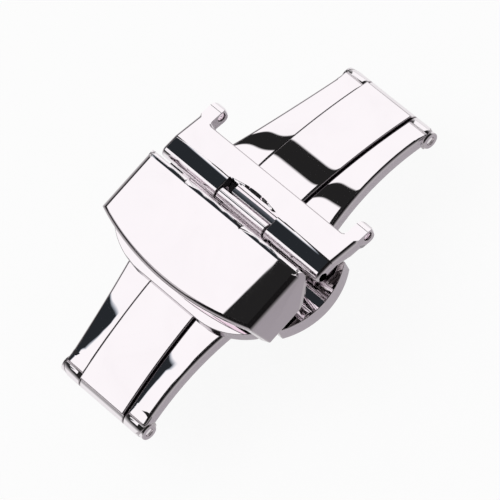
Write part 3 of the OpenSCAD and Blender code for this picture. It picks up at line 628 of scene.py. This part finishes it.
def arm_round(first, last):
    """Small rounds at the arms' bores and middle knuckles, and a broad one along the top of
    their outer edges. The step round each end knuckle is only 0.1 mm high, so the rounds out
    there are smaller than that."""
    ends = (first, last)
    wide = [abs(end.x) for end in ends]
    for bore_x, bore_z, radius in (END_BORE, LUG_PIN_BORE, PLATE_PIN_BORE):
        places = wide if bore_x > ARM_CUTS[1] else [end.x for end in ends]
        reach = [math.hypot(x - bore_x, end.z - bore_z) for x, end in zip(places, ends)]
        if all(abs(r - radius) < 0.01 for r in reach):
            return 0.04 if abs(first.y - last.y) < 1e-3 else 0.0
    if max(abs(first.y), abs(last.y)) < 3.16 and min(first.z, last.z) > 5.6:
        return 0.1 if first.y * last.y > 0 else None
    on_top = all(abs(math.hypot(end.x, end.z - ARC_HEIGHT) - ARM_TOP_R) < 0.01 for end in ends)
    outside = min(abs(first.y), abs(last.y)) > 5.39
    if on_top and outside and max(wide) < ARM_CUTS[1] + 1e-3:
        return 0.22 if max(wide) > ARM_CUTS[0] + 1e-3 else 0.28
    return END_ROUND if min(wide) > ARM_CUTS[1] - 1e-3 else None


def cut_arm(work):
    """Rows of edges across an arm, where the broad round of its outer edges gets smaller."""
    for x in ARM_CUTS:
        for side in (-1, 1):
            bisect(work, work.faces[:], side * x)


def lug_round(first, last):
    """Broad rounds at the ends, which run out towards the tips of the ears, and at the far
    edge; none in the notch, where the edges are short."""
    ends = (first, last)
    high, low = max(first.x, last.x), min(first.x, last.x)
    level = min(first.z, last.z)

    def on_row(x):
        return all(abs(end.x - x) < 1e-3 for end in ends)

    if max(abs(first.y), abs(last.y)) < 3.9 and low > 2.1 and high < 4.3:
        rim = all(abs(math.hypot(end.x - NOTCH_MIDDLE, end.y) - NOTCH_R) < 0.01 for end in ends)
        return -1.0 if level > 7.0 and (rim or on_row(RIM_X)) else 0.0
    if on_row(LUG_BEND):
        return -1.0
    bore = min(math.hypot(end.x - EAR_BORE[0], end.z - EAR_BORE[1]) for end in ends) < 0.6
    pin = min(math.hypot(end.x - LUG_PIN_BORE[0], end.z - LUG_PIN_BORE[1]) for end in ends) < 0.5
    if bore or pin:
        return None
    if on_row(EAR_CUT) and level > 6.5:
        return -1.0
    if high > EAR_CUT + 1e-3:
        return 0.0
    if min(abs(first.y), abs(last.y)) > 10.55 and abs(first.y - last.y) < 1e-3:
        return 0.34
    return 0.1 if low > 5.7 and level > 6.3 else None


def old_lug_top(x):
    """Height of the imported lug's top, in millimetres: flat, then a slope."""
    return LUG_TOP - 0.22353 * max(0.0, x - 2.9)


def new_lug_top(x):
    """Height of the finished lug's top: flat, then a parabola, then a steeper slope."""
    if x > LUG_BEND:
        return 7.311 - 0.25176 * (x - LUG_BEND)
    return LUG_TOP - 0.175 * max(0.0, x - LUG_BEND_START) ** 2


def cut_lug(work):
    """Rows of edges across the lug where its top bends, where its ears begin, and where the
    facet behind the notch's rim ends, whose corners become one point each."""
    for x in (2.7, LUG_BEND_START, 3.05, 3.15, 3.25, LUG_BEND):
        bisect(work, [face for face in work.faces if face.normal.z > 0.9
                      and face.calc_center_median().z > 7 * MM], x)
    bisect(work, work.faces[:], EAR_CUT)

    def behind_rim(vert):
        x, y, z = vert.co / MM
        return 3.19 < x < 3.71 and abs(y) < 3.31 and z > 6.6

    bisect(work, [face for face in work.faces if 0.3 < abs(face.normal.x) < 0.9
                  and all(behind_rim(vert) for vert in face.verts)], RIM_X)
    for side in (-1, 1):
        arc = [vert for vert in work.verts if 2.795 * MM < vert.co.x < 3.205 * MM
               and 2.895 * MM < side * vert.co.y < 3.305 * MM]
        upper = [vert for vert in arc if vert.co.z > 6.6 * MM]
        lower = [vert for vert in arc if vert.co.z < 6.6 * MM]
        low_z = sum(vert.co.z for vert in lower) / len(lower)
        for level, height in ((upper, 7.272 * MM), (lower, low_z)):
            corner = (3.2 * MM, side * 3.3 * MM, height)
            bmesh.ops.pointmerge(work, verts=level, merge_co=corner)


def shape_lug(work):
    """Bends the lug's flat top slowly down to its slope and lets the top of each ear fall on
    towards its tip. The rim behind the notch becomes a level facet with a bright chamfer."""
    cut_lug(work)
    for vert in work.verts:
        x, y, z = vert.co / MM
        arc_x = math.sqrt(NOTCH_R ** 2 - min(y * y, 9)) + NOTCH_MIDDLE
        if 3.19 < x < RIM_X + 0.001 and abs(y) < 3.29 and z > 6.6 and x < arc_x - 0.002:
            fall = 0.2 * (min(RIM_X, arc_x) - x)
            rim_x = math.sqrt(NOTCH_R ** 2 - y * y) + NOTCH_MIDDLE
            vert.co.z = (new_lug_top(rim_x) - fall) * MM
        elif 2.6 < x < 5.91 and old_lug_top(x) - 0.02 < z < old_lug_top(x) + 0.01:
            vert.co.z = new_lug_top(x) * MM
    bore_x, bore_z = EAR_BORE
    for vert in work.verts:
        x, z = vert.co.x / MM, vert.co.z / MM
        if x > EAR_CUT and z > 5.83 and math.hypot(x - bore_x, z - bore_z) > 0.6:
            share = 0.188 * min(1.0, (x - EAR_CUT) / (bore_x - EAR_CUT))
            vert.co.z = (bore_z + (z - bore_z) * (1 - share)) * MM


def merge_corners(work):
    """Merges the short edges of each corner of the raised top into one sharp corner."""
    for vert in work.verts:
        x, y, z = abs(vert.co.x) / MM, abs(vert.co.y) / MM, vert.co.z / MM
        if 18.895 < x < 19.055 and y > 2.795 and z > 1.6:
            level = 2.095 if z > 1.95 else 1.757
            corner_x, corner_y = math.copysign(19.05, vert.co.x), math.copysign(2.95, vert.co.y)
            vert.co = (corner_x * MM, corner_y * MM, level * MM)
    bmesh.ops.remove_doubles(work, verts=work.verts, dist=1e-6)


def tube_mesh(name, path, radius, sides=14):
    """Round tube along a path: at each point a circle is laid across the path's direction,
    turned so that it doesn't twist, and the two ends are closed by a point.
    Its UV map runs along and round the tube."""
    path = np.asarray(path, float)
    along = np.gradient(path, axis=0)
    along /= np.linalg.norm(along, axis=1)[:, None]
    middle_line = np.array([0.0, 1.0, 0.0])
    side = np.cross(along, middle_line)
    side /= np.linalg.norm(side, axis=1)[:, None]
    third = np.cross(along, side)
    turn = np.linspace(0, 2 * np.pi, sides, endpoint=False)
    ring = (np.cos(turn)[None, :, None] * side[:, None]
            + np.sin(turn)[None, :, None] * third[:, None])
    rows = (path[:, None] + radius * ring).reshape(-1, 3)
    count = len(path)
    ends = np.vstack([path[0] - radius * 0.6 * along[0], path[-1] + radius * 0.6 * along[-1]])
    verts = np.vstack([rows, ends])
    i, j = np.meshgrid(np.arange(count - 1), np.arange(sides), indexing="ij")
    k = (j + 1) % sides
    quads = np.stack([i * sides + j, i * sides + k, (i + 1) * sides + k, (i + 1) * sides + j], -1)
    first, last = len(rows), len(rows) + 1
    low = [(first, int((s + 1) % sides), s) for s in range(sides)]
    base = (count - 1) * sides
    high = [(last, base + s, int(base + (s + 1) % sides)) for s in range(sides)]
    mesh = bpy.data.meshes.new(name)
    mesh.from_pydata(verts.tolist(), [], quads.reshape(-1, 4).tolist() + low + high)
    mesh.uv_layers.new(name="UVMap")
    corner = np.empty(len(mesh.loops), int)
    mesh.loops.foreach_get("vertex_index", corner)
    uv = np.stack([np.minimum(corner // sides, count - 1) / sides, (corner % sides) / sides], -1)
    mesh.uv_layers[0].data.foreach_set("uv", uv.astype(np.float32).ravel())
    mesh.polygons.foreach_set("use_smooth", np.ones(len(mesh.polygons), bool))
    mesh.update()
    outward(mesh)
    return mesh


def outward(mesh):
    """Turns all faces of a closed mesh outwards."""
    work = bmesh.new()
    work.from_mesh(mesh)
    bmesh.ops.recalc_face_normals(work, faces=work.faces)
    work.to_mesh(mesh)
    work.free()


def ray_kinds(tree):
    """The Light Path node, and whether a ray is one that shows in metal or glass."""
    rays = tree.nodes.new("ShaderNodeLightPath")
    shown = calc(tree, "MAXIMUM", rays.outputs["Is Glossy Ray"],
                 rays.outputs["Is Transmission Ray"])
    return rays, shown


# Operators

class CLASP_OT_stage(bpy.types.Operator):
    """Floor, light from all round with two dark cards, soft box and camera"""
    bl_idname = "clasp.stage"
    bl_label = "Stage and camera"

    def execute(self, context):
        stage = context.scene.clasp_stage
        self.floor(context.scene.clasp_colours)
        self.sky(context.scene, stage)
        self.lamp(stage)
        self.camera(context.scene, stage)
        context.scene.view_settings.view_transform = "Standard"
        return {"FINISHED"}

    def floor(self, colours):
        """Round pale floor: a sheet of rings about the clasp, white to the camera. It lies
        deep enough for the cover and the lug, which hang under the clasp when it is open."""
        sides = 64
        rings = np.array([0.03, 0.08, 0.4])
        turn = np.linspace(0, 2 * np.pi, sides, endpoint=False)
        x = rings[:, None] * np.cos(turn)
        y = rings[:, None] * np.sin(turn)
        verts = np.stack([x, y, np.full_like(x, -FLOOR_DROP)], -1).reshape(-1, 3)
        i, j = np.meshgrid(np.arange(len(rings) - 1) * sides, np.arange(sides), indexing="ij")
        k = (j + 1) % sides
        quads = np.stack([i + j, i + sides + j, i + sides + k, i + k], -1).reshape(-1, 4)
        mesh = bpy.data.meshes.new("floor")
        mesh.from_pydata(verts.tolist(), [], [list(range(sides))] + quads.tolist())
        floor = link("floor", mesh)
        material = bpy.data.materials.new("pale floor")
        material.use_nodes = True
        tree = material.node_tree
        tree.nodes.remove(tree.nodes["Principled BSDF"])
        matt = add(tree, "ShaderNodeBsdfDiffuse", Color=(*colours.floor, 1))
        glow = add(tree, "ShaderNodeEmission", Color=(1, 1, 1, 1))
        rays, shown = ray_kinds(tree)
        share = calc(tree, "MAXIMUM", calc(tree, "MULTIPLY", rays.outputs["Is Camera Ray"], 0.88),
                     calc(tree, "MULTIPLY", shown, 0.3))
        mixed = tree.nodes.new("ShaderNodeMixShader")
        tree.links.new(share, mixed.inputs[0])
        tree.links.new(matt.outputs[0], mixed.inputs[1])
        tree.links.new(glow.outputs[0], mixed.inputs[2])
        tree.links.new(mixed.outputs[0], tree.nodes["Material Output"].inputs["Surface"])
        mesh.materials.append(material)

    def sky(self, scene, stage):
        """Even white sky. Polished steel sees a studio there instead: a long bright window
        over the back, with dark cards in it, dim walls all round and a grey floor line. A
        direction is placed by its slope x / z and by its part along Y, which don't mix
        where a face only turns about Y."""
        world = bpy.data.worlds.new("studio")
        scene.world = world
        world.use_nodes = True
        tree = world.node_tree
        back = tree.nodes["Background"]
        toward = tree.nodes.new("ShaderNodeTexCoord").outputs["Generated"]
        split = tree.nodes.new("ShaderNodeSeparateXYZ")
        tree.links.new(toward, split.inputs[0])
        x, y, z = split.outputs
        slope = calc(tree, "DIVIDE", x, calc(tree, "MAXIMUM", z, 0.02))

        def above(value, edge, soft):
            """0 below the edge and 1 above it, with a ramp of that width; the edge may vary."""
            over = calc(tree, "SUBTRACT", value, edge)
            return calc(tree, "MULTIPLY_ADD", over, 1.0 / soft, 0.5, clamp=True)

        def below(value, edge, soft):
            """1 below the edge and 0 above it."""
            return calc(tree, "SUBTRACT", 1.0, above(value, edge, soft))

        def both(first, *others):
            """Where all of the masks are."""
            for other in others:
                first = calc(tree, "MULTIPLY", first, other)
            return first

        # Front edge of the window, which juts forward over the right half of the clasp
        front = calc(tree, "MULTIPLY_ADD", above(slope, 0.33, 0.3), 0.03, 0.415)
        front = calc(tree, "MULTIPLY_ADD", above(slope, 0.67, 0.05), -0.1, front)
        window = both(above(y, front, 0.002), below(y, 0.69, 0.03),
                      above(slope, -0.86, 0.04), above(z, 0.03, 0.04))
        # Cards: one shows as dark bands across the strip and the arms beyond the lug, the
        # next darkens level faces, such as the lug's flat top, and the edge of the last runs
        # aslant and gives the dark wedges on the left arm
        card = both(above(slope, 0.525, 0.012), below(slope, 0.65, 0.012))
        band = both(above(slope, 0.045, 0.02), below(slope, 0.33, 0.12),
                    above(y, 0.39, 0.02), below(y, 0.62, 0.02))
        edge = calc(tree, "MULTIPLY_ADD", calc(tree, "ADD", slope, 0.41), -0.26, 0.53)
        wedge = both(below(slope, -0.405, 0.02), above(y, edge, 0.012))
        cool = calc(tree, "MAXIMUM", band, wedge)
        bright = both(window, calc(tree, "SUBTRACT", 1.0, calc(tree, "MAXIMUM", card, cool)))
        # Walls: dark high up, paler towards the horizon, and sooner so in front
        ahead = calc(tree, "MULTIPLY", y, -2.0, clamp=True)
        start = calc(tree, "MULTIPLY_ADD", ahead, 0.22, 0.48)
        rise = calc(tree, "SUBTRACT", 1.0, calc(tree, "DIVIDE", z, start), clamp=True)
        wall = calc(tree, "MULTIPLY_ADD", rise, 0.6, 0.016)
        level = calc(tree, "MAXIMUM", wall, bright)
        level = calc(tree, "MAXIMUM", level, calc(tree, "MULTIPLY", cool, 0.026))
        rays, shiny = ray_kinds(tree)
        seen = rays.outputs["Is Camera Ray"]
        plain = calc(tree, "MULTIPLY_ADD", seen, 1.0 - stage.sky, stage.sky)
        plain = calc(tree, "MULTIPLY", plain, calc(tree, "SUBTRACT", 1.0, shiny))
        level = calc(tree, "ADD", calc(tree, "MULTIPLY", level, shiny), plain)
        tree.links.new(level, back.inputs["Strength"])
        tint = mix_colour(tree, both(cool, window, shiny), (1, 1, 1), (0.72, 0.86, 1.0))
        tree.links.new(tint, back.inputs["Color"])

    def lamp(self, stage):
        """Large soft box over the clasp, a little to the left, that doesn't show in the steel."""
        data = bpy.data.lights.new("soft box", "AREA")
        data.shape = "DISK"
        data.size = stage.lamp_size
        data.energy = stage.lamp_power
        lamp = bpy.data.objects.new("soft box", data)
        bpy.context.scene.collection.objects.link(lamp)
        lamp.location = (-0.12, 0.05, 0.5)
        toward = Vector((0, 0, 0)) - lamp.location
        lamp.rotation_euler = toward.to_track_quat("-Z", "Y").to_euler()
        lamp.visible_glossy = False
        lamp.visible_camera = False

    def camera(self, scene, stage):
        """Camera on the line of sight of the photograph, turned about its own axis."""
        a, e, r = stage.azimuth, stage.elevation, stage.roll
        back = Vector((math.sin(a) * math.cos(e), -math.cos(a) * math.cos(e), math.sin(e)))
        right = Vector((math.cos(a), math.sin(a), 0))
        up = back.cross(right)
        across = math.cos(r) * right - math.sin(r) * up
        above = math.sin(r) * right + math.cos(r) * up
        aim = Vector((0, 0, AIM_HEIGHT))
        data = bpy.data.cameras.new("camera")
        data.sensor_width = 36
        data.lens = stage.lens
        data.shift_x, data.shift_y = SHIFT
        data.clip_start, data.clip_end = 0.01, 50
        camera = bpy.data.objects.new("camera", data)
        scene.collection.objects.link(camera)
        frame_axes = Matrix((across, above, back)).transposed().to_4x4()
        camera.matrix_world = Matrix.Translation(aim + stage.distance * back) @ frame_axes
        scene.camera = camera


class CLASP_OT_base(bpy.types.Operator):
    """Arched base strip and the catch housing under it"""
    bl_idname = "clasp.base"
    bl_label = "Base and housing"

    def execute(self, context):
        sizes = context.scene.clasp_sizes
        rounded_piece("base_plate", "polished strip", sizes.fine_edge, reshape=merge_corners)
        rounded_piece("catch_housing", "satin steel", sizes.inner_edge)
        rounded_piece("housing_floor", "satin steel", sizes.inner_edge)
        rounded_piece("housing_rivets", "turned steel", sizes.inner_edge)
        return {"FINISHED"}


class CLASP_OT_arms(bpy.types.Operator):
    """The two forked arms with their hooks"""
    bl_idname = "clasp.arms"
    bl_label = "Forked arms"

    def execute(self, context):
        for node in ("arm_left", "arm_right"):
            rounded_piece(node, "polished rails", context.scene.clasp_sizes.rail_edge,
                          broad=arm_round, reshape=cut_arm)
        return {"FINISHED"}


class CLASP_OT_lug(bpy.types.Operator):
    """Strap lug with its two eared ends"""
    bl_idname = "clasp.lug"
    bl_label = "Strap lug"

    def execute(self, context):
        rounded_piece("strap_lug", "polished steel", context.scene.clasp_sizes.fine_edge,
                      broad=lug_round, reshape=shape_lug)
        return {"FINISHED"}


class CLASP_OT_cover(bpy.types.Operator):
    """Hinged cover, the strap plate under it and the strap stud"""
    bl_idname = "clasp.cover"
    bl_label = "Cover and strap plate"

    def execute(self, context):
        sizes = context.scene.clasp_sizes
        rounded_piece("cover", "polished steel", sizes.fine_edge, broad=cover_round,
                      segments=4, reshape=shape_rear, crease=44.0, kept=at_rear)
        rounded_piece("strap_plate", "polished steel", sizes.inner_edge)
        rounded_piece("strap_stud", "turned steel", sizes.inner_edge)
        return {"FINISHED"}


class CLASP_OT_pins(bpy.types.Operator):
    """Hinge pins of the arms, the lug, the strap plate and the cover"""
    bl_idname = "clasp.pins"
    bl_label = "Hinge pins"

    def execute(self, context):
        for node in ("end_pin_left", "end_pin_right", "lug_pin", "plate_pin", "cover_pin"):
            rounded_piece(node, "turned steel", context.scene.clasp_sizes.pin_edge)
        return {"FINISHED"}


class CLASP_OT_buttons(bpy.types.Operator):
    """Push buttons at both sides and their latch plates"""
    bl_idname = "clasp.buttons"
    bl_label = "Push buttons"

    def execute(self, context):
        sizes = context.scene.clasp_sizes
        for end in ("front", "back"):
            rounded_piece("button_" + end, "polished steel", sizes.fine_edge)
            rounded_piece("latch_" + end, "satin steel", sizes.inner_edge)
        return {"FINISHED"}


class CLASP_OT_springs(bpy.types.Operator):
    """Wound springs behind the latch plates"""
    bl_idname = "clasp.springs"
    bl_label = "Button springs"

    def execute(self, context):
        sizes = context.scene.clasp_sizes
        for end, side in (("front", -1), ("back", 1)):
            node = "spring_" + end
            low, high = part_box(node)
            reach = (high.z - low.z) / 2 - 1.02 * sizes.wire_radius
            length = (high.y - low.y) - 2.1 * sizes.wire_radius
            # Helix about a line along Y: the angle grows evenly, and so does the place along
            # Y but for a closed turn at each end
            part = np.linspace(0, 1, 48 * sizes.wire_turns)
            angle = 2 * np.pi * sizes.wire_turns * part
            closed = 1.0 / sizes.wire_turns
            ramp = np.clip((part - closed * 0.8) / (1 - 1.6 * closed), 0, 1)
            place = 0.06 * part + 0.94 * ramp
            middle = (np.array(low) + np.array(high)) / 2
            path = np.stack([
                middle[0] + reach * np.cos(angle),
                middle[1] + length * (place - 0.5),
                middle[2] + reach * np.sin(angle)], -1)
            piece = link(node + "_wound", tube_mesh(node + "_wound", path, sizes.wire_radius))
            piece.data.materials.append(finish_named("drawn wire"))
            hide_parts(node)
            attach(piece, body_of(node))
            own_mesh(piece)
        return {"FINISHED"}


class CLASP_PT_panel(bpy.types.Panel):
    """Lists the clasp's pieces, sizes and colours"""
    bl_idname = "CLASP_PT_panel"
    bl_label = "Watch clasp"
    bl_space_type = "VIEW_3D"
    bl_region_type = "UI"
    bl_category = "Watch clasp"

    def draw(self, context):
        for title, group in GROUPS:
            box = self.layout.box()
            for name in group.__annotations__:
                box.prop(getattr(context.scene, title), name)
        for operator in OPERATORS:
            self.layout.operator(operator.bl_idname)


GROUPS = (("clasp_sizes", ClaspSizes), ("clasp_colours", ClaspColours), ("clasp_stage", ClaspStage))
OPERATORS = (CLASP_OT_base, CLASP_OT_arms, CLASP_OT_lug, CLASP_OT_cover, CLASP_OT_pins,
             CLASP_OT_buttons, CLASP_OT_springs, CLASP_OT_stage)


def register():
    for name, group in GROUPS:
        bpy.utils.register_class(group)
        setattr(bpy.types.Scene, name, bpy.props.PointerProperty(type=group))
    for item in (*OPERATORS, CLASP_PT_panel):
        bpy.utils.register_class(item)


def unregister():
    for item in (CLASP_PT_panel, *reversed(OPERATORS)):
        bpy.utils.unregister_class(item)
    for name, group in reversed(GROUPS):
        delattr(bpy.types.Scene, name)
        bpy.utils.unregister_class(group)


def main():
    register()
    bpy.ops.clasp.base()
    bpy.ops.clasp.arms()
    bpy.ops.clasp.lug()
    bpy.ops.clasp.cover()
    bpy.ops.clasp.pins()
    bpy.ops.clasp.buttons()
    bpy.ops.clasp.springs()
    bpy.ops.clasp.stage()
    bpy.context.view_layer.update()


if __name__ == "__main__":
    main()
